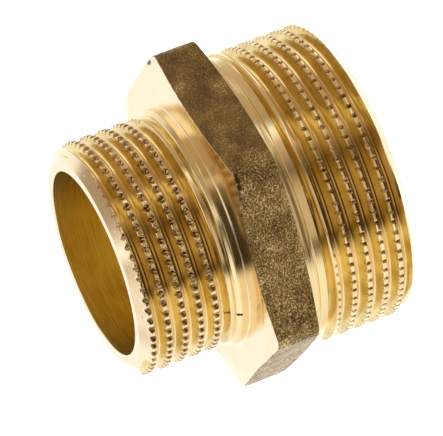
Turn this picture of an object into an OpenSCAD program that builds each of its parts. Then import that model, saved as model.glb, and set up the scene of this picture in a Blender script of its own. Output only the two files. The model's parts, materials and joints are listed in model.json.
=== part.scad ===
// Reducing hex nipple: one brass forging with a parallel pipe thread at each end.
// The axis is +Z. The large end face is at z = 0 and the small end face is at the top.
// The forging is drawn as five regions that meet face to face and never come apart:
// the hexagon with its two collars, and a plain spigot with a thread ridge at each end.

/* [Lengths] */
// Length of the large end, from its face to the hexagon
large_len = 16; // [12:1:24]
// Thickness of the hexagon
hex_len = 7; // [5:0.5:12]
// Length of the small end, from the hexagon to its face
small_len = 15; // [12:1:24]
// Length of the plain collar between the hexagon and the large end's relief
large_collar_len = 1.4; // [0.8:0.1:2]
// Length of the plain collar between the hexagon and the small end's relief
small_collar_len = 1.2; // [0.8:0.1:2]

/* [Hexagon] */
// Across flats, for a 43 mm spanner
hex_af = 42.8; // [42.6:0.1:46]
// Radius of the rounded corners of the hexagon
hex_corner_r = 2.5; // [1:0.5:4]
// Slope of the turned faces of the hexagon outside their flat ring, in degrees
hex_face_slope = 10; // [5:1:30]
// Diameter of the flat ring on each face of the hexagon
hex_ring_d = 42.4; // [42:0.1:42.4]

/* [Threads] */
// Pitch of both threads: 11 turns per inch
pitch = 2.309; // [1.8:0.001:2.54]
// Angle between the two flanks of a ridge, in degrees
flank_angle = 55; // [50:1:60]
// Crest diameter of the large thread, G 1 1/4
large_crest_d = 41.7; // [41.2:0.1:41.9]
// Root diameter of the large thread, G 1 1/4
large_root_d = 38.96; // [38.5:0.02:39]
// Crest diameter of the small thread, G 1
small_crest_d = 32.8; // [32.6:0.1:33.2]
// Root diameter of the small thread, G 1
small_root_d = 30.3; // [30:0.02:30.32]
// Width of the relief between the large thread and its collar
large_relief_len = 1.2; // [0.4:0.1:3]
// Width of the relief between the small thread and its collar
small_relief_len = 0.6; // [0.4:0.1:3]
// Direction in which the large thread's crest would reach its end face, in degrees
large_start = 201; // [0:1:360]
// Direction in which the small thread's crest would reach its end face, in degrees
small_start = 82; // [0:1:360]

/* [Ends and bores] */
// Diameter of the large end face, inside its chamfer
large_face_d = 39; // [38:0.5:39]
// Diameter of the small end face, inside its chamfer
small_face_d = 28.8; // [28:0.1:30]
// Slope of the large end's chamfer from its end face, in degrees
large_chamfer_slope = 42; // [20:1:45]
// Slope of the small end's chamfer from its end face, in degrees
small_chamfer_slope = 30; // [20:1:45]
// Bore in the large end
large_bore_d = 34.5; // [30:0.5:35.5]
// Bore in the small end, which runs through the hexagon
small_bore_d = 26; // [20:0.5:27]
// Collar diameter on the large side of the hexagon
large_collar_d = 41.6; // [40:0.1:42]
// Collar diameter on the small side of the hexagon
small_collar_d = 33.5; // [32:0.1:36]

/* [Hidden] */

turned_brass = [0.83, 0.66, 0.28];
forged_brass = [0.45, 0.35, 0.2];

hex_bottom = large_len;
hex_top = hex_bottom + hex_len;
total_len = hex_top + small_len;
large_spigot_len = large_len - large_collar_len;
small_spigot_len = small_len - small_collar_len;

// The step between the two bores is a 45 degree cone, inside the hexagon.
bore_step = (large_bore_d - small_bore_d) / 2;

smooth = 96;
overshoot = 1;

// A ridge is made of straight facets, and keeps this much height and width where it fades out.
facets_per_turn = 48;
sliver = 0.03;
fade_slope = 30;

// Radius of an end chamfer at a given distance in from the end face.
function chamfer_r(face_d, slope, inset) = face_d / 2 + inset / tan(slope);

// Distance in from an end face at which its chamfer reaches a given diameter.
function chamfer_depth(face_d, slope, d) = max(0, (d - face_d) / 2 * tan(slope));

// Radius at which the flanks of neighbouring ridges would meet, a sixth of the full form's height
// below the root.
function sharp_root_r(root_d) = root_d / 2 - pitch / tan(flank_angle / 2) / 12;

// Width of a ridge at a given radius.
function ridge_width(r, root_d) =
  pitch - 2 * (r - sharp_root_r(root_d)) * tan(flank_angle / 2);

// The greatest radius a ridge may have at a distance in from the end face: the chamfer cuts it
// at one end, and it fades out where the relief begins.
function ridge_limit(inset, root_d, crest_d, face_d, slope, len) =
  max(
    root_d / 2 + sliver,
    min(
      crest_d / 2,
      chamfer_r(face_d, slope, inset),
      root_d / 2 + (len - inset) / tan(fade_slope)
    )
  );

// A regular hexagon with rounded corners and a corner on +X.
module rounded_hexagon(af, corner_r) {
  centre_r = (af / 2 - corner_r) / cos(30);
  polygon([
    for (corner = [0:60:300], side = [-30, 30])
      centre_r * [cos(corner), sin(corner)] + corner_r * [cos(corner + side), sin(corner + side)]
  ]);
  for (corner = [0:60:300])
    rotate(corner)
      translate([centre_r, 0])
        circle(r = corner_r, $fn = smooth);
}

// The turned shape that the hexagon is cut to: flat rings on both faces and a slope outside them.
module turned_faces() {
  ring_r = hex_ring_d / 2;
  reach = hex_af;
  drop = (reach - ring_r) * tan(hex_face_slope);
  rotate_extrude($fn = smooth)
    polygon([
      [0, hex_bottom],
      [ring_r, hex_bottom],
      [reach, hex_bottom + drop],
      [reach, hex_top - drop],
      [ring_r, hex_top],
      [0, hex_top],
    ]);
}

// The whole bore, from the large end face to the small one.
module bore() {
  rotate_extrude($fn = smooth)
    polygon([
      [0, -overshoot],
      [large_bore_d / 2, -overshoot],
      [large_bore_d / 2, large_spigot_len],
      [small_bore_d / 2, large_spigot_len + bore_step],
      [small_bore_d / 2, total_len + overshoot],
      [0, total_len + overshoot],
    ]);
}

// A plain tube up to the root of the thread, standing on its end face, with the chamfer.
module spigot_blank(len, root_d, face_d, slope) {
  rotate_extrude($fn = smooth)
    polygon([
      [0, 0],
      [min(face_d, root_d) / 2, 0],
      [root_d / 2, chamfer_depth(face_d, slope, root_d)],
      [root_d / 2, len],
      [0, len],
    ]);
}

// A right-hand helical ridge around a spigot, which ends at a distance len in from the end face.
// That face is at face_z, end_up says whether it faces up, and start is the direction in which
// the crest would reach it.
module thread_ridge(face_z, end_up, len, root_d, crest_d, face_d, slope, start) {
  bare = chamfer_depth(face_d, slope, root_d);
  z_min = end_up ? face_z - len : face_z + bare;
  z_max = end_up ? face_z - bare : face_z + len;
  root_half = ridge_width(root_d / 2, root_d) / 2;
  crest_half = ridge_width(crest_d / 2, root_d) / 2;
  offsets = [-root_half, -crest_half, crest_half, root_half];
  z_first = z_min - root_half + sliver;
  turn_count = (z_max + root_half - sliver - z_first) / pitch;
  sections = ceil(turn_count * facets_per_turn);
  corners = len(offsets);

  points = [
    for (i = [0:sections])
      let (
        centre_z = z_first + i / sections * turn_count * pitch,
        angle = start + 360 * (centre_z - face_z) / pitch
      )
        for (k = [0:corners - 1])
          let (
            low = z_min + k * sliver,
            high = z_max - (corners - 1 - k) * sliver,
            z = min(max(centre_z + offsets[k], low), high),
            inset = end_up ? face_z - z : z - face_z,
            on_crest = k > 0 && k < corners - 1,
            limit = ridge_limit(inset, root_d, crest_d, face_d, slope, len),
            r = on_crest ? limit : root_d / 2
          )
            [r * cos(angle), r * sin(angle), z]
  ];
  sides = [
    for (i = [0:sections - 1], k = [0:corners - 1])
      let (next = (k + 1) % corners)
        [
          i * corners + k,
          i * corners + next,
          (i + 1) * corners + next,
          (i + 1) * corners + k,
        ]
  ];
  first_cap = [for (k = [corners - 1:-1:0]) k];
  last_cap = [for (k = [0:corners - 1]) sections * corners + k];
  polyhedron(points, concat(sides, [first_cap, last_cap]), convexity = 10);
}

// The forged hexagon and the turned collar on each side of it.
module hex_collar() {
  color(forged_brass)
    difference() {
      union() {
        intersection() {
          translate([0, 0, hex_bottom])
            linear_extrude(hex_len)
              rounded_hexagon(hex_af, hex_corner_r);
          turned_faces();
        }
        translate([0, 0, large_spigot_len])
          cylinder(d = large_collar_d, h = large_collar_len + overshoot, $fn = smooth);
        translate([0, 0, hex_top - overshoot])
          cylinder(d = small_collar_d, h = small_collar_len + overshoot, $fn = smooth);
      }
      bore();
    }
}

module large_end_spigot() {
  color(turned_brass)
    difference() {
      spigot_blank(large_spigot_len, large_root_d, large_face_d, large_chamfer_slope);
      bore();
    }
}

module large_end_thread() {
  color(turned_brass)
    thread_ridge(
      0, false, large_spigot_len - large_relief_len,
      large_root_d, large_crest_d, large_face_d, large_chamfer_slope, large_start
    );
}

module small_end_spigot() {
  color(turned_brass)
    difference() {
      translate([0, 0, total_len])
        mirror([0, 0, 1])
          spigot_blank(small_spigot_len, small_root_d, small_face_d, small_chamfer_slope);
      bore();
    }
}

module small_end_thread() {
  color(turned_brass)
    thread_ridge(
      total_len, true, small_spigot_len - small_relief_len,
      small_root_d, small_crest_d, small_face_d, small_chamfer_slope, small_start
    );
}

hex_collar();
large_end_spigot();
large_end_thread();
small_end_spigot();
small_end_thread();
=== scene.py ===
import json
import math

import bmesh
import bpy
import numpy as np
from mathutils import Matrix, Vector


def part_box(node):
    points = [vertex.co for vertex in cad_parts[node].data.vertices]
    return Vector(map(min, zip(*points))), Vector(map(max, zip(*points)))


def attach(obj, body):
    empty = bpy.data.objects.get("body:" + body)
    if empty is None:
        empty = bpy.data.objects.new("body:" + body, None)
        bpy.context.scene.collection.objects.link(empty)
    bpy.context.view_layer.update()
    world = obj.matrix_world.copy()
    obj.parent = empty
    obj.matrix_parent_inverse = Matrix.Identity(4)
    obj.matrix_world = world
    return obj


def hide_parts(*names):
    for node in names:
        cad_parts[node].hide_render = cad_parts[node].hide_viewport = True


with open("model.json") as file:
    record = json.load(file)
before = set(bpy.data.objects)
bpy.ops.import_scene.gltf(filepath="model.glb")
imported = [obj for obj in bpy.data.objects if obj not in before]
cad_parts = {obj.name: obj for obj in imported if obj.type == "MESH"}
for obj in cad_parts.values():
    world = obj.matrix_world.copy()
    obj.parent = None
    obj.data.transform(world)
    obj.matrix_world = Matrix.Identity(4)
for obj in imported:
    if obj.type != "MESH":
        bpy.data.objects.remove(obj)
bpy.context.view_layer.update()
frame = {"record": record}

# Sizes below are in millimetres until a mesh or an object is made.
MM = 0.001
MOUNTS = {mount["name"]: mount for mount in frame["record"]["mounts"]}


def mount_size(name, key):
    """One of a mount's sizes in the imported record, in millimetres."""
    return MOUNTS[name]["dims"][key]


def node_box(node):
    """A CAD node's lowest and highest corners, in millimetres."""
    low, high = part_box(node)
    return Vector(low) / MM, Vector(high) / MM


HEX_LOW, HEX_HIGH = node_box("hex_collar")
TOP_Z = node_box("small_end_spigot")[1].z

# The camera stands at this bearing around +Z from the object, counted from +X.
CAMERA_BEARING = -69.36

# Both threads. Their flanks would meet at a sharp edge this far below the root.
PITCH = 2.309
FLANK_HALF_ANGLE = math.radians(27.5)
ROOT_BELOW = PITCH / math.tan(FLANK_HALF_ANGLE) / 12

# How softly the crest's edges and the root are rounded, and how far that lets the surface drop.
CREST_EDGE = 0.07
ROOT_FILLET = 0.42
ROOT_DROP = 0.11

# Half the width of the painted highlight down the middle of each root: a line of the brighter crest
# brass.
ROOT_HIGHLIGHT = 0.14

# How steeply the ridges run out at the inner end of the thread, and the root rises there.
RUN_OUT_SLOPE = 2.5
END_RISE = 1.2

# The spread in the place and the depth of the notches, as shares of their step and their depth.
NOTCH_WANDER = 0.06
NOTCH_SPREAD = 0.18

# How thick the threaded sleeves are below the root.
SLEEVE_WALL = 0.5

# The hexagon between its two collars.
HEX_THICKNESS = mount_size("spanner_hexagon", "length_mm")
HEX_BOTTOM = MOUNTS["spanner_hexagon"]["pos_m"][2] / MM - HEX_THICKNESS / 2
HEX_TOP = HEX_BOTTOM + HEX_THICKNESS
HEX_CORNER_R = 2.5
HEX_RING_R = 21.2
HEX_FACE_SLOPE = math.tan(math.radians(10))

# The fillet at the foot of each collar, how far from the hexagon the collar's plain stretch
# ends, and how far the rounding of its outer edge reaches.
COLLAR_FILLET = 0.15
COLLAR_FOOT = 0.22
COLLAR_EDGE = 0.12

# How far short of the forged sides the turned faces stop, on the small and on the large side.
SMALL_FACE_MARGIN = 0.17
LARGE_FACE_MARGIN = 0.14


class End:
    """The sizes of one end. Distances called inset run from its end face into the fitting.

    notches is their number in a turn. Each takes up notch_share of its step, and notch_form is
    the power of its outline. Its depth falls by notch_round toward both edges of the crest and
    by notch_lean toward the inner one. The notches begin between the two insets of notch_first
    and end between those of notch_stop. crest_hollow is how far the crest dips in its middle.
    """

    def __init__(self, name, face_z, inward, node_end_z, **sizes):
        self.name = name
        self.face_z = face_z
        self.inward = inward
        self.spigot_len = abs(node_end_z - face_z)
        self.__dict__.update(sizes)
        self.root_inset = max((self.root_r - self.face_r) * self.chamfer_slope, 0.02)
        self.sharp_r = self.root_r - ROOT_BELOW

    def z(self, inset):
        return self.face_z + self.inward * inset

    def inset(self, z):
        return (z - self.face_z) * self.inward

    def half_width(self, r):
        """Half the width of a ridge at a radius."""
        return PITCH / 2 - (r - self.sharp_r) * math.tan(FLANK_HALF_ANGLE)


SMALL = End(
    "small_end",
    TOP_Z,
    -1,
    HEX_HIGH.z,
    crest_r=mount_size("small_thread", "r_mm"),
    root_r=15.15,
    face_r=14.4,
    chamfer_slope=math.tan(math.radians(30)),
    bore_r=mount_size("small_bore", "r_mm"),
    thread_len=13.3,
    relief_r=16.15,
    relief_rise=0.45,
    start=82,
    notches=66.25,
    notch_depth=0.5,
    notch_share=0.74,
    notch_form=1.35,
    notch_round=0.2,
    notch_lean=0.4,
    crest_hollow=0.01,
    notch_first=(0, 0.1),
    notch_stop=(11.1, 11.7),
    columns=795,
)
LARGE = End(
    "large_end",
    0,
    1,
    HEX_LOW.z,
    crest_r=mount_size("large_thread", "r_mm"),
    root_r=19.48,
    face_r=19.5,
    chamfer_slope=math.tan(math.radians(42)),
    bore_r=mount_size("large_bore", "r_mm"),
    thread_len=13.4,
    relief_r=20.35,
    relief_rise=0.25,
    start=201,
    notches=85.5,
    notch_depth=0.4,
    notch_share=0.32,
    notch_form=2,
    notch_round=0.1,
    notch_lean=0.2,
    crest_hollow=0.1,
    notch_first=(1.2, 1.9),
    notch_stop=(10.7, 11.9),
    columns=855,
)
COLLAR_R = {"small_end": 16.75, "large_end": 20.8}

# Where the feed left its marks along the large collar, and how high each one stands.
COLLAR_MARKS = [
    (0, 0), (0.08, 0.02), (0.16, 0.022), (0.2, -0.02), (0.3, -0.022), (0.4, 0.004), (0.46, -0.05),
    (0.68, -0.005), (0.78, 0.01), (0.82, -0.02), (0.9, -0.02), (0.94, 0.01), (1, 0),
]


# ---------------------------------------------------------------- meshes


def soft_min(a, b, blend):
    """The smaller of two heights, with the edge between them rounded over."""
    return (a + b - np.sqrt((a - b) ** 2 + blend**2)) / 2


def soft_max(a, b, blend):
    """The larger of two heights, with the corner between them filled."""
    return (a + b + np.sqrt((a - b) ** 2 + blend**2)) / 2


def smooth_step(x, low, high):
    """0 below one value and 1 above the other, with a smooth rise between."""
    t = np.clip((x - low) / (high - low), 0, 1)
    return t * t * (3 - 2 * t)


def between(start, stop, share):
    """The value at a share of the way from one to the other."""
    return start * (1 - share) + stop * share


def value_noise(points, scale, seed):
    """Smooth random heights between -1 and 1 at points in space, over cells of a given size."""
    table = np.random.default_rng(seed).uniform(-1, 1, 4096)
    scatter = np.array([73856093, 19349663, 83492791])
    cell = np.floor(points / scale).astype(np.int64)
    t = points / scale - cell
    t = t * t * (3 - 2 * t)
    total = np.zeros(len(points))
    for corner in np.ndindex(2, 2, 2):
        index = (cell + corner) @ scatter
        share = np.prod(np.where(corner, t, 1 - t), axis=1)
        total += share * table[index % len(table)]
    return total


def make_piece(name, points, quads, slots, materials, node, crease=32):
    """A closed mesh from points in millimetres and quads, which stands for a CAD node."""
    mesh = bpy.data.meshes.new(name)
    mesh.from_pydata((points * MM).tolist(), [], quads.tolist())
    mesh.polygons.foreach_set("material_index", slots)
    for material in materials:
        mesh.materials.append(material)
    work = bmesh.new()
    work.from_mesh(mesh)
    bmesh.ops.remove_doubles(work, verts=work.verts, dist=1e-8)
    bmesh.ops.recalc_face_normals(work, faces=work.faces)
    work.to_mesh(mesh)
    work.free()
    mesh.polygons.foreach_set("use_smooth", [True] * len(mesh.polygons))
    mesh.set_sharp_from_angle(angle=math.radians(crease))
    piece = bpy.data.objects.new(name, mesh)
    bpy.context.collection.objects.link(piece)
    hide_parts(node)
    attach(piece, "root")
    return piece


def ring_quads(rows, columns):
    """Quads between each row of points and the next, all the way round and back to row 0."""
    row, column = np.meshgrid(np.arange(rows), np.arange(columns), indexing="ij")
    here, there = row * columns, (row + 1) % rows * columns
    beside = (column + 1) % columns
    return np.stack([here + column, here + beside, there + beside, there + column], -1)


def around(radius, z, columns):
    """Points on a circle, or on a band of circles if radius is an array of one row per circle."""
    angle = np.arange(columns) * 2 * math.pi / columns
    radius, z, angle = np.broadcast_arrays(radius, z, angle)
    return np.stack([radius * np.cos(angle), radius * np.sin(angle), z], -1)


def eased(corners, steps=4, margin=0.06):
    """A closed outline of (r, z, easing) corners, with each corner rounded by its easing. Each
    of its points is (r, z, number of the corner)."""
    outline = []
    count = len(corners)
    for k in range(count):
        here = np.array(corners[k][:2])
        before = np.array(corners[k - 1][:2]) - here
        after = np.array(corners[(k + 1) % count][:2]) - here
        reach = corners[k][2]
        if reach == 0:
            outline.append((*here, k))
            continue
        before = before / np.linalg.norm(before)
        after = after / np.linalg.norm(after)
        outline.append((*(here + before * (reach + margin)), k))
        for t in np.linspace(0, 1, steps + 1):
            outline.append((*(here + before * reach * (1 - t) ** 2 + after * reach * t**2), k))
        outline.append((*(here + after * (reach + margin)), k))
    return np.array(outline)


def turned_piece(name, corners, slot_of_side, materials, node, columns=720):
    """A piece turned from a closed outline. Side k runs from corner k to corner k + 1."""
    outline = eased(corners)
    points = around(outline[:, :1], outline[:, 1:2], columns).reshape(-1, 3)
    quads = ring_quads(len(outline), columns)
    side = outline[:, 2].astype(int)
    slots = np.repeat([slot_of_side[k] for k in side], columns)
    return make_piece(name, points, quads.reshape(-1, 4), slots, materials, node)


def thread_rows(end):
    """Where the rows of points lie across one ridge: close together at its edges."""
    crest = end.half_width(end.crest_r)
    root = end.half_width(end.root_r)
    half = np.concatenate(
        [
            np.linspace(0, crest * 0.8, 3),
            np.linspace(crest * 0.96, crest + 0.06, 2),
            np.linspace(crest + 0.24, root - 0.2, 2),
            np.linspace(root - 0.08, PITCH / 2, 3),
        ]
    )
    return np.concatenate([-half[-2:0:-1], half])


# The kinds of surface on a threaded sleeve, which are also its material slots.
FLANK, CREST, NOTCH, TURNED, FACED = range(5)


def notch_floor(end, share_across, along, inset):
    """Radius of the floor of the notches rolled across the crest, each a little different, and
    how deep into a notch each point lies: 0 at its edge and 1 in its middle."""
    step = 360 / end.notches
    number = np.floor(along / step).astype(int)
    variety = np.random.default_rng(5).uniform(-1, 1, (2, 1024))
    wander, spread = variety[:, number % variety.shape[1]]
    offset = (along / step - number - 0.5 + NOTCH_WANDER * wander) * 2
    lean = np.clip(-share_across * end.inward, -1.3, 1.3)
    depth = end.notch_depth * (1 + NOTCH_SPREAD * spread)
    depth = depth * (1 + end.notch_lean * lean)
    depth = depth * smooth_step(inset, *end.notch_first) * (1 - smooth_step(inset, *end.notch_stop))
    cut = 1 - (np.abs(offset) / end.notch_share) ** end.notch_form
    cut = cut - end.notch_round * share_across**2
    cut = cut - 3 * np.clip(np.abs(share_across) - 1.1, 0, None)
    return end.crest_r - depth * cut, np.where(depth > 0, cut, 0)


def thread_height(end, across, along, inset):
    """Radius of the threaded surface, and what kind of surface it is. Across is the distance
    from the middle of the nearest ridge, along is the angle travelled along the helix."""
    flank = end.sharp_r + (PITCH / 2 - np.abs(across)) / math.tan(FLANK_HALF_ANGLE)
    share_across = across / end.half_width(end.crest_r)
    crest = end.crest_r - end.crest_hollow * np.clip(1 - share_across**2, 0, 1)
    ridge = soft_min(flank, crest, CREST_EDGE)
    height = soft_max(ridge, end.root_r, ROOT_FILLET) - ROOT_DROP
    floor, cut = notch_floor(end, share_across, along, inset)
    height = np.where(cut > 0, soft_min(height, floor, 0.02), height)

    # The end chamfer, and the run-out into the relief.
    height = soft_max(height, end.relief_r - (end.thread_len - inset) * END_RISE, 0.05)
    chamfer = end.face_r + inset / end.chamfer_slope
    run_out = end.relief_r + (end.thread_len - inset) * RUN_OUT_SLOPE
    limit = np.minimum(chamfer, run_out)
    # Crest lands and a thin line along each root take the brighter crest brass: painted highlight.
    painted_bright = (np.abs(share_across) < 1.05) | (across > PITCH / 2 - ROOT_HIGHLIGHT)
    kind = np.where(painted_bright, CREST, FLANK)
    kind = np.where(cut > 0.1, NOTCH, kind)
    kind = np.where(run_out < height, TURNED, kind)
    kind = np.where(chamfer < height, FACED, kind)
    return soft_min(height, limit, 0.06), kind


def helix_rows(end, z_low, z_high):
    """Rows of points that follow the helix between two heights: their distance across the
    nearest ridge, the angle travelled along the helix, their height and their bearing."""
    across = thread_rows(end)
    first = math.floor((z_low - end.face_z) / PITCH) - 2
    last = math.ceil((z_high - end.face_z) / PITCH) + 2
    ridges = np.arange(first, last)
    base = (ridges[:, None] * PITCH + across[None, :]).ravel()
    ridge = np.repeat(ridges, len(across))
    across = np.tile(across, len(ridges))
    bearing = np.arange(end.columns + 1) * 360 / end.columns
    z = end.face_z + base[:, None] + PITCH * (bearing[None, :] - end.start) / 360
    used = (z.max(axis=1) > z_low) & (z.min(axis=1) < z_high)
    along = bearing[None, :] + 360 * ridge[used, None]
    return across[used, None], along, np.clip(z[used], z_low, z_high), np.radians(bearing)


def sleeve_walls(end, grid, z_low, z_high):
    """The plain wall inside a sleeve, and the end rings that join it to the skin's grid."""
    columns = end.columns
    inner_r = end.root_r - SLEEVE_WALL
    wall = around(np.full((2, 1), inner_r), np.array([[z_low], [z_high]]), columns)
    bottom, top = grid.size + np.arange(2 * columns).reshape(2, columns)
    here = np.arange(columns)
    beside = (here + 1) % columns
    low, high = grid[0], grid[-1]
    quads = [
        np.stack([bottom[here], bottom[beside], top[beside], top[here]], -1),
        np.stack([bottom[here], bottom[beside], low[here + 1], low[here]], -1),
        np.stack([top[here], top[beside], high[here + 1], high[here]], -1),
    ]
    return wall.reshape(-1, 3), np.concatenate(quads)


def thread_piece(end, materials):
    """A threaded sleeve whose rows of points follow the helix, closed by a plain wall inside."""
    z_low, z_high = sorted((end.z(end.root_inset), end.z(end.thread_len)))
    across, along, z, angle = helix_rows(end, z_low, z_high)
    radius, kind = thread_height(end, across, along, end.inset(z))
    skin = np.stack([radius * np.cos(angle), radius * np.sin(angle), z], -1)
    grid = np.arange(z.size).reshape(z.shape)
    quads = np.stack([grid[:-1, :-1], grid[:-1, 1:], grid[1:, 1:], grid[1:, :-1]], -1)
    quads = quads.reshape(-1, 4)

    # The rows that were cut off at the sleeve's ends lie on top of one another there.
    flat = np.ptp(z.ravel()[quads], axis=1) < 1e-9
    quads = quads[~flat]

    around_quad = kind.ravel()[quads]
    in_notch = (around_quad == NOTCH).sum(axis=1) > 1
    wall, wall_quads = sleeve_walls(end, grid, z_low, z_high)
    slots = np.concatenate(
        [np.where(in_notch, NOTCH, around_quad[:, 0]), np.full(len(wall_quads), FLANK)]
    )
    points = np.concatenate([skin.reshape(-1, 3), wall])
    quads = np.concatenate([quads, wall_quads])
    node = end.name + "_thread"
    return make_piece(node + "_skin", points, quads, slots, materials, node, crease=50)


def spigot_piece(end, materials):
    """The plain tube under a thread: end face, chamfer, the relief beyond the thread, and bore."""
    under = end.root_r - 0.3
    hole = end.bore_r
    corners = [
        (hole, end.z(0), 0.1),
        (end.face_r, end.z(0), 0.05),
        (max(end.root_r, end.face_r + 0.03), end.z(end.root_inset), 0),
        (under, end.z(end.root_inset + 0.2), 0),
        (under, end.z(end.thread_len - 0.15), 0),
        (end.relief_r, end.z(end.thread_len - 0.1), 0),
        (end.relief_r, end.z(end.spigot_len - end.relief_rise), 0.1),
        (COLLAR_R[end.name] - 0.04, end.z(end.spigot_len), 0),
        (hole, end.z(end.spigot_len), 0),
    ]
    turned, bored, faced = range(3)
    sides = [faced] * 3 + [turned] * 5 + [bored]
    node = end.name + "_spigot"
    return turned_piece(node + "_tube", corners, sides, materials, node)


def hexagon_reach(angle):
    """Distance from the axis to the side of the rounded hexagon in each direction."""
    half_flat = HEX_HIGH.y
    folded = (angle + math.pi / 6) % (math.pi / 3) - math.pi / 6
    flat_angle = math.pi / 6 - np.abs(folded)
    flat = half_flat / np.cos(flat_angle)
    centre = (half_flat - HEX_CORNER_R) / math.cos(math.pi / 6)
    inside = HEX_CORNER_R**2 - (centre * np.sin(folded)) ** 2
    corner = centre * np.cos(folded) + np.sqrt(np.clip(inside, 0, None))
    touch_across = HEX_CORNER_R * math.sin(math.pi / 6)
    touch_out = centre + HEX_CORNER_R * math.cos(math.pi / 6)
    touch = math.atan2(touch_across, touch_out)
    return np.where(np.abs(folded) < touch, corner, flat)


def face_drop(radius):
    """How far the hexagon's turned faces lie inside their flat ring at a radius."""
    return soft_max(0, (radius - HEX_RING_R) * HEX_FACE_SLOPE, 0.03)


def forged_lift(skin):
    """How far the forging's skin stands out at each point: broad dents, fine grit, and a ragged
    edge toward the small side, which fades out toward +X."""
    lift = 0.035 * value_noise(skin, 3.1, 1) + 0.012 * value_noise(skin, 0.8, 2)
    lift = lift + 0.035 * value_noise(skin, 0.34, 3) - 0.06
    edge = 1 - smooth_step(np.abs(skin[:, 2] - (HEX_TOP - 0.5)), 0, 0.9)
    fade = 1 - smooth_step(skin[:, 0], 11, 13)
    return lift - 0.07 * edge * (1 + value_noise(skin, 0.5, 6)) * fade


def hexagon_rows(angle, turned, bored, forged, faced):
    """The radius and height of each row of points, all the way round the section of the hexagon
    and its collars, and the slot of the surface that each row begins."""
    reach = hexagon_reach(angle)
    small_collar, large_collar = COLLAR_R["small_end"], COLLAR_R["large_end"]
    top, bottom = HEX_HIGH.z, HEX_LOW.z
    rows, slots = [], []

    def add_row(radius, z, slot):
        rows.append(np.stack(np.broadcast_arrays(radius, z, angle)[:2], -1))
        slots.append(slot)

    # Down the small collar, out across the small side's face.
    add_row(SMALL.bore_r, top, turned)
    add_row(small_collar - 0.08, top, turned)
    add_row(small_collar - 0.02, top - 0.05, turned)
    for z in np.linspace(top - COLLAR_EDGE, HEX_TOP + COLLAR_FOOT, 9):
        add_row(small_collar, z, turned)
    for t in np.linspace(0, math.pi / 2, 6):
        radius = small_collar + COLLAR_FILLET * (1 - math.cos(t))
        add_row(radius, HEX_TOP + COLLAR_FILLET * (1 - math.sin(t)), faced)
    for share in np.linspace(0.02, 1, 28):
        radius = between(small_collar + COLLAR_FILLET, reach - SMALL_FACE_MARGIN, share)
        add_row(radius, HEX_TOP - face_drop(radius), faced)

    # The forged side, with a broken edge at the top and the bottom.
    z_top = HEX_TOP - face_drop(reach)
    z_bottom = HEX_BOTTOM + face_drop(reach)
    add_row(reach - 0.07, z_top - 0.02, forged)
    for share in np.linspace(0, 1, 44):
        add_row(reach, between(z_top - 0.1, z_bottom + 0.1, share), forged)
    add_row(reach - 0.05, z_bottom + 0.02, forged)

    # In across the large side's face, down the large collar, and back up the bore.
    for share in np.linspace(1, 0.02, 18):
        radius = between(large_collar + COLLAR_FILLET, reach - LARGE_FACE_MARGIN, share)
        add_row(radius, HEX_BOTTOM + face_drop(radius), turned)
    for t in np.linspace(math.pi / 2, 0, 6):
        radius = large_collar + COLLAR_FILLET * (1 - math.cos(t))
        add_row(radius, HEX_BOTTOM - COLLAR_FILLET * (1 - math.sin(t)), turned)
    for share, mark in COLLAR_MARKS:
        z = between(HEX_BOTTOM - COLLAR_FOOT, bottom + COLLAR_EDGE, share)
        add_row(large_collar + mark, z, turned)
    add_row(large_collar - 0.02, bottom + 0.05, turned)
    add_row(large_collar - 0.08, bottom, turned)
    add_row(LARGE.bore_r, bottom, bored)
    step_top = bottom + LARGE.bore_r - SMALL.bore_r
    add_row(LARGE.bore_r - 0.06, bottom + 0.06, bored)
    add_row(SMALL.bore_r + 0.1, step_top - 0.1, bored)
    add_row(SMALL.bore_r + 0.02, step_top, bored)
    add_row(SMALL.bore_r, step_top + 0.12, bored)
    return np.array(rows), np.array(slots)


def hexagon_piece(materials):
    """The forged hexagon with its two collars: rough sides between turned faces."""
    turned, bored, forged, faced = range(4)
    columns = 1080
    angle = np.arange(columns) * 2 * math.pi / columns
    rows, slots = hexagon_rows(angle, turned, bored, forged, faced)
    radius, z = rows[..., 0], rows[..., 1]
    points = np.stack([radius * np.cos(angle), radius * np.sin(angle), z], -1)

    rough = slots == forged
    skin = points[rough].reshape(-1, 3)
    outward = skin * [1, 1, 0]
    outward = outward / np.linalg.norm(outward, axis=1, keepdims=True)
    points[rough] = (skin + outward * forged_lift(skin)[:, None]).reshape(points[rough].shape)

    quads = ring_quads(len(rows), columns).reshape(-1, 4)
    slots = np.repeat(slots, columns)
    points = points.reshape(-1, 3)
    return make_piece("hexagon_and_collars", points, quads, slots, materials, "hex_collar")


# ---------------------------------------------------------------- materials


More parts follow.
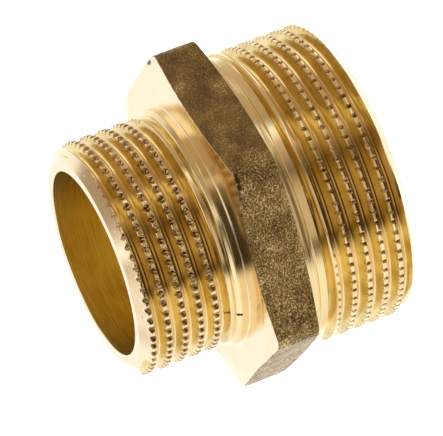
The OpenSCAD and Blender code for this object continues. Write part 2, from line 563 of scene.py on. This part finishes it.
class Nodes:
    """Short ways to add and join nodes in one node tree."""

    def __init__(self, tree):
        self.tree = tree

    def add(self, kind, settings=None, **inputs):
        """A new node with its settings, and its inputs by name, with _ for a space."""
        node = self.tree.nodes.new(kind)
        for key, value in (settings or {}).items():
            setattr(node, key, value)
        for key, value in inputs.items():
            self.set(node, key.replace("_", " "), value)
        return node

    def set(self, node, socket, value):
        """Give one of a node's inputs a value, or link it to a socket."""
        target = node.inputs[socket]
        if isinstance(value, bpy.types.NodeSocket):
            self.tree.links.new(value, target)
        else:
            target.default_value = value

    def math(self, operation, a, b=0.0):
        """The output of a math node. Each input is a number or a socket."""
        node = self.tree.nodes.new("ShaderNodeMath")
        node.operation = operation
        self.set(node, 0, a)
        self.set(node, 1, b)
        return node.outputs[0]

    def ramp(self, factor, stops):
        """A colour ramp through (position, colour) stops, where a plain number is a grey."""
        node = self.tree.nodes.new("ShaderNodeValToRGB")
        self.set(node, 0, factor)
        elements = node.color_ramp.elements
        while len(elements) < len(stops):
            elements.new(0.5)
        for element, (position, colour) in zip(elements, stops):
            element.position = position
            element.color = (*colour, 1) if isinstance(colour, tuple) else (colour,) * 3 + (1,)
        return node.outputs[0]

    def noise(self, vector, scale, detail=2.0, roughness=0.5):
        """The height of a noise texture at a vector."""
        node = self.add(
            "ShaderNodeTexNoise", Vector=vector, Scale=scale, Detail=detail, Roughness=roughness
        )
        return node.outputs[0]


# Small blemishes, as blemish() takes them: bearing from the camera's, radius, height, half sizes
# outward, around and along the axis, and tilt.
# The nicks have no dent in the mesh; this near black paints their shade. The face's speck takes the
# same dark.
NICK_SHADE_AND_SPECK_COLOUR = (0.03, 0.012, 0.004)
PIT_COLOUR = (0.07, 0.04, 0.02)
KNOCK_COLOUR = (0.98, 0.85, 0.62)
SMUDGE_COLOUR = (0.06, 0.045, 0.03)
# Where painted shade stands for nicks in the necks and threads.
NECK_NICK_SHADES = [
    (-56.3, 15.5, 27.1, (1.6, 0.58, 1.15), 30),
    (-52.8, 16.5, 24.4, (1.6, 0.42, 1.0), 38),
]
FACE_SPECKS = [(75.3, 23.3, 22.6, (1.1, 2.0, 3.0), 0)]
FORGED_PITS = [(8.6, 24.1, 22.1, (1.6, 1.5, 0.65), 0), (6.0, 24.1, 22.2, (1.6, 1.0, 0.5), 0)]
FORGED_KNOCKS = [
    (4.0, 24.0, 21.95, (1.6, 0.45, 0.5), 20),
    (2.7, 24.0, 22.1, (1.6, 0.4, 0.4), 0),
]

# How far along +X the forging's skin turns from gritty to smooth.
SMOOTH_SIDE = (11, 15)


def new_material(name):
    """A material with the nodes it starts with, and its shader."""
    material = bpy.data.materials.new(name)
    material.use_nodes = True
    shader = material.node_tree.nodes["Principled BSDF"]
    return material, Nodes(material.node_tree), shader


def lathe_coordinates(nodes, around_scale):
    """Distance from the axis, height and a little of the bearing: marks drawn with these run
    round the axis, as a lathe leaves them. In millimetres."""
    where = nodes.add("ShaderNodeTexCoord").outputs["Object"]
    split = nodes.add("ShaderNodeSeparateXYZ", Vector=where)
    x, y, z = split.outputs
    squares = nodes.math("ADD", nodes.math("MULTIPLY", x, x), nodes.math("MULTIPLY", y, y))
    radius = nodes.math("SQRT", squares)
    bearing = nodes.math("ARCTAN2", y, x)
    join = nodes.add("ShaderNodeCombineXYZ")
    nodes.set(join, 0, nodes.math("MULTIPLY", radius, 1 / MM))
    nodes.set(join, 1, nodes.math("MULTIPLY", bearing, around_scale))
    nodes.set(join, 2, nodes.math("MULTIPLY", z, 1 / MM))
    return join.outputs[0], where


def eased_share(nodes, value, low, high):
    """0 below one value and 1 above the other, with a smooth rise between."""
    node = nodes.add("ShaderNodeMapRange", {"interpolation_type": "SMOOTHSTEP"}, Value=value)
    nodes.set(node, "From Min", low)
    nodes.set(node, "From Max", high)
    return node.outputs[0]


def blemish(nodes, where, theta, radius, z, half_sizes, tilt):
    """One inside a ragged spot on the surface and nothing outside it. Theta is its bearing from
    the camera's, and the half sizes run outward, around and along the axis."""
    bearing = math.radians(CAMERA_BEARING + theta)
    spot = nodes.add("ShaderNodeMapping", {"vector_type": "TEXTURE"}, Vector=where)
    spot.inputs["Location"].default_value = (
        radius * math.cos(bearing) * MM,
        radius * math.sin(bearing) * MM,
        z * MM,
    )
    spot.inputs["Rotation"].default_value = (math.radians(tilt), 0, bearing)
    spot.inputs["Scale"].default_value = [size * MM for size in half_sizes]
    reach = nodes.add("ShaderNodeVectorMath", {"operation": "LENGTH"}).outputs["Value"]
    nodes.tree.links.new(spot.outputs[0], reach.node.inputs[0])
    ragged = nodes.math("MULTIPLY", nodes.noise(where, 3500.0), 0.9)
    return nodes.ramp(nodes.math("ADD", reach, ragged), [(0.0, 1.0), (0.9, 1.0), (1.0, 0.0)])


def blend_colour(nodes, share, under, over):
    """One colour laid over another by a share."""
    blend = nodes.add("ShaderNodeMix", {"data_type": "RGBA"}, Factor=share)
    for socket, value in ((6, under), (7, over)):
        if isinstance(value, tuple):
            blend.inputs[socket].default_value = (*value, 1)
        else:
            nodes.tree.links.new(value, blend.inputs[socket])
    return blend.outputs[2]


def turned_brass(name, pale, deep, roughness, mark_scale, mark_height, dark_marks=(), cloudy=0.6):
    """Brass fresh from the lathe: bright, with fine rings round the axis and a few dark marks; on
    the nicks that dark is painted shade.
    """
    material, nodes, shader = new_material(name)
    # The cloudier the brass, the shorter its rings.
    lathe, where = lathe_coordinates(nodes, around_scale=cloudy)
    cloud = nodes.noise(where, 260.0, 3.0)
    rings = nodes.noise(lathe, mark_scale, 3.0, 0.6)
    tone = nodes.math("MULTIPLY", cloud, cloudy)
    tone = nodes.math("ADD", tone, nodes.math("MULTIPLY", rings, 1 - cloudy))
    colour = nodes.ramp(tone, [(0.35, deep), (0.65, pale)])
    # Each dark mark is laid over the brass; on the nicks it is painted shade.
    for dark_mark in dark_marks:
        colour = blend_colour(nodes, blemish(nodes, where, *dark_mark), colour, NICK_SHADE_AND_SPECK_COLOUR)
    nodes.set(shader, "Base Color", colour)
    nodes.set(shader, "Metallic", 1.0)
    spread = nodes.math("MULTIPLY_ADD", rings, roughness * 0.8)
    spread.node.inputs[2].default_value = roughness * 0.6
    nodes.set(shader, "Roughness", spread)
    bump = nodes.add("ShaderNodeBump", Strength=0.35, Distance=mark_height * MM, Height=rings)
    nodes.set(shader, "Normal", bump.outputs[0])
    return material


def forged_brass():
    """The skin that a hot forging keeps: dull brown bronze with a gritty speckle, smoother and
    greyer on the side of the hexagon that lies furthest toward +X."""
    material, nodes, shader = new_material("forged_skin")
    where = nodes.add("ShaderNodeTexCoord").outputs["Object"]
    patches = nodes.noise(where, 300.0, 3.0, 0.55)
    fine = nodes.noise(where, 4600.0, 3.0, 0.85)
    x = nodes.add("ShaderNodeSeparateXYZ", Vector=where).outputs[0]
    smooth = eased_share(nodes, x, *(edge * MM for edge in SMOOTH_SIDE))
    nodes.set(smooth.node, "To Min", 1.0)
    nodes.set(smooth.node, "To Max", 0.55)
    swing = nodes.math("MULTIPLY", nodes.math("SUBTRACT", fine, 0.5), smooth)
    grit = nodes.math("ADD", swing, 0.5)
    tone = nodes.math("ADD", nodes.math("MULTIPLY", patches, 0.2), nodes.math("MULTIPLY", grit, 0.8))
    colour = nodes.ramp(
        tone,
        [
            (0.40, (0.03, 0.015, 0.006)),
            (0.47, (0.19, 0.12, 0.042)),
            (0.55, (0.35, 0.23, 0.078)),
            (0.60, (0.98, 0.77, 0.38)),
        ],
    )
    smudge = nodes.ramp(nodes.noise(where, 230.0, 1.0), [(0.5, 0.0), (0.62, 0.55)])
    smudge = nodes.math("MULTIPLY", smudge, nodes.math("SUBTRACT", 1.0, smooth))
    colour = blend_colour(nodes, smudge, colour, SMUDGE_COLOUR)
    for pit in FORGED_PITS:
        colour = blend_colour(nodes, blemish(nodes, where, *pit), colour, PIT_COLOUR)
    for knock in FORGED_KNOCKS:
        colour = blend_colour(nodes, blemish(nodes, where, *knock), colour, KNOCK_COLOUR)
    nodes.set(shader, "Base Color", colour)
    nodes.set(shader, "Metallic", 0.9)
    nodes.set(shader, "Roughness", nodes.ramp(grit, [(0.35, 0.52), (0.65, 0.32)]))
    bump = nodes.add("ShaderNodeBump", Strength=0.8, Distance=0.05 * MM, Height=grit)
    nodes.set(shader, "Normal", bump.outputs[0])
    return material


# ---------------------------------------------------------------- studio


# Brightness of the studio by bearing from the camera, counted counter-clockwise seen from +Z:
# above the hexagon's level, below it, and overhead.
UPPER_STUDIO = [
    (-180, 1.12), (-150, 1.12), (-70, 1.05), (-60, 1.0), (-54, 0.04), (4, 0.05), (24, 0.25),
    (34, 0.85), (37, 0.3), (44, 0.5), (78, 0.55), (81, 0.35), (84, 0.9), (92, 1.2), (122, 1.1),
    (134, 0.8), (150, 1.12), (180, 1.12),
]
LOWER_STUDIO = [
    (-180, 1.8), (-155, 1.8), (-130, 1.0), (-66, 1.1), (-54, 0.85), (-50, 0.1), (-40, 0.6),
    (-10, 0.66), (3, 0.5), (9, 0.22), (14, 0.22), (22, 0.42), (36, 0.6), (44, 1.1), (51, 1.15),
    (54, 0.3), (60, 0.48), (120, 0.6), (136, 0.7), (156, 1.4), (180, 1.8),
]
OVERHEAD_STUDIO = [
    (-180, 1.35), (-172, 1.1), (-158, 0.5), (-148, 0.85), (-140, 1.2), (-95, 1.1), (-82, 0.08),
    (-30, 0.08), (-18, 1.1), (48, 1.1), (62, 0.45), (110, 0.5), (140, 0.38), (150, 0.5),
    (162, 0.85), (172, 1.15), (180, 1.35),
]

# Brightness straight below, where the floor would be.
NADIR = 0.9


def warmed(level):
    """The studio's colour at a brightness: its white boxes are neutral, and its shade is warm."""
    white = min(max((level - 0.5) / 0.6, 0), 1)
    return tuple(level / 2 * (low + (1 - low) * white) for low in (1, 0.78, 0.56))


def make_world():
    """Soft boxes and dark flags around the object, seen only in reflections. The camera itself
    sees plain white."""
    world = bpy.data.worlds.new("studio")
    bpy.context.scene.world = world
    world.use_nodes = True
    world.node_tree.nodes.clear()
    nodes = Nodes(world.node_tree)
    direction = nodes.add("ShaderNodeTexCoord").outputs["Generated"]
    x, y, z = nodes.add("ShaderNodeSeparateXYZ", Vector=direction).outputs
    bearing = nodes.math("MULTIPLY", nodes.math("ARCTAN2", y, x), 180 / math.pi)

    # The bearing from the camera's, in turns, with edges that wander a little.
    turn = nodes.math("DIVIDE", nodes.math("SUBTRACT", bearing, CAMERA_BEARING), 360.0)
    cloud = nodes.math("MULTIPLY", nodes.math("SUBTRACT", nodes.noise(direction, 6.0), 0.5), 0.05)
    turn = nodes.math("FRACT", nodes.math("ADD", nodes.math("ADD", turn, cloud), 1.5))

    def studio(bands):
        return nodes.ramp(turn, [((angle + 180) / 360, warmed(level)) for angle, level in bands])

    upward = eased_share(nodes, z, -0.12, 0.12)
    overhead = eased_share(nodes, z, 0.5, 0.7)
    below = eased_share(nodes, z, -0.86, -0.95)
    colour = blend_colour(nodes, upward, studio(LOWER_STUDIO), studio(UPPER_STUDIO))
    colour = blend_colour(nodes, overhead, colour, studio(OVERHEAD_STUDIO))
    colour = blend_colour(nodes, below, colour, warmed(NADIR))

    reflected = nodes.add("ShaderNodeBackground", Color=colour, Strength=2.0)
    plain = nodes.add("ShaderNodeBackground", Color=(1, 1, 1, 1), Strength=1.0)
    seen = nodes.add("ShaderNodeLightPath").outputs["Is Camera Ray"]
    mix = nodes.add("ShaderNodeMixShader", Fac=seen)
    nodes.tree.links.new(reflected.outputs[0], mix.inputs[1])
    nodes.tree.links.new(plain.outputs[0], mix.inputs[2])
    output = nodes.add("ShaderNodeOutputWorld")
    nodes.tree.links.new(mix.outputs[0], output.inputs[0])


def make_floor():
    """A pale slab under the large end, lit so that it stays white."""
    half, thick, gap = 3000, 20, 0.02
    mesh = bpy.data.meshes.new("floor")
    work = bmesh.new()
    bmesh.ops.create_cube(work, size=2)
    for vertex in work.verts:
        vertex.co.x *= half * MM
        vertex.co.y *= half * MM
        vertex.co.z = -gap * MM if vertex.co.z > 0 else -thick * MM
    work.to_mesh(mesh)
    work.free()
    floor = bpy.data.objects.new("floor", mesh)
    bpy.context.collection.objects.link(floor)
    material, nodes, shader = new_material("floor")
    where = nodes.add("ShaderNodeTexCoord").outputs["Object"]
    tint = nodes.ramp(nodes.noise(where, 4.0), [(0.3, 0.9), (0.7, 0.93)])
    nodes.set(shader, "Base Color", tint)
    nodes.set(shader, "Roughness", 0.8)
    nodes.set(shader, "Emission Color", (1, 1, 1, 1))
    nodes.set(shader, "Emission Strength", 0.75)
    mesh.materials.append(material)
    floor.visible_glossy = False
    floor.visible_shadow = False


def make_camera():
    """The photograph's view: from a little above the small end, rolled onto its side."""
    aim = Vector((-0.35, -0.15, 19.24))
    bearing = math.radians(CAMERA_BEARING)
    elevation = math.radians(15.615)
    distance = 604.0
    roll = math.radians(-110.8)
    back = Vector(
        (
            math.cos(bearing) * math.cos(elevation),
            math.sin(bearing) * math.cos(elevation),
            math.sin(elevation),
        )
    )
    data = bpy.data.cameras.new("camera")
    data.sensor_width = 36
    data.lens = 366.4
    data.clip_start = 0.01
    camera = bpy.data.objects.new("camera", data)
    camera.location = (aim + back * distance) * MM
    camera.rotation_mode = "QUATERNION"
    upright = back.to_track_quat("Z", "Y")
    camera.rotation_quaternion = upright @ Matrix.Rotation(roll, 3, "Z").to_quaternion()
    bpy.context.collection.objects.link(camera)
    bpy.context.scene.camera = camera


turned = turned_brass(
    "turned_bright", (0.95, 0.77, 0.44), (0.86, 0.67, 0.34), 0.13, 9.0, 0.02, NECK_NICK_SHADES
)
# The faces' brass is paler than the turned brass, so that what they reflect comes out nearly white:
# painted highlight.
faced = turned_brass(
    "faced_painted_highlight", (0.96, 0.81, 0.56), (0.90, 0.73, 0.48), 0.15, 7.0, 0.02, FACE_SPECKS
)
flanks = turned_brass(
    "thread_flank", (0.92, 0.72, 0.33), (0.60, 0.43, 0.13), 0.15, 5.0, 0.02, NECK_NICK_SHADES
)
# The notch brass is much darker than the rest: painted shade in the notches.
notches = turned_brass("thread_notch_painted_shade", (0.64, 0.43, 0.20), (0.32, 0.19, 0.07), 0.2, 5.0, 0.02)
# The crest brass is brighter than the flanks' brass: painted highlight on the crest lands and along
# the roots.
crest_and_root_highlight = turned_brass(
    "thread_crest_painted_highlight", (0.98, 0.78, 0.46), (0.85, 0.63, 0.30), 0.11, 5.0, 0.02, NECK_NICK_SHADES
)
bored = turned_brass(
    "bore_satin", (0.96, 0.78, 0.28), (0.70, 0.53, 0.13), 0.3, 5.0, 0.03, cloudy=0.3
)
forged = forged_brass()

for end in (SMALL, LARGE):
    thread_piece(end, [flanks, crest_and_root_highlight, notches, turned, faced])
    spigot_piece(end, [turned, bored, faced])
hexagon_piece([turned, bored, forged, faced])

make_world()
make_floor()
make_camera()
bpy.context.scene.view_settings.view_transform = "Standard"
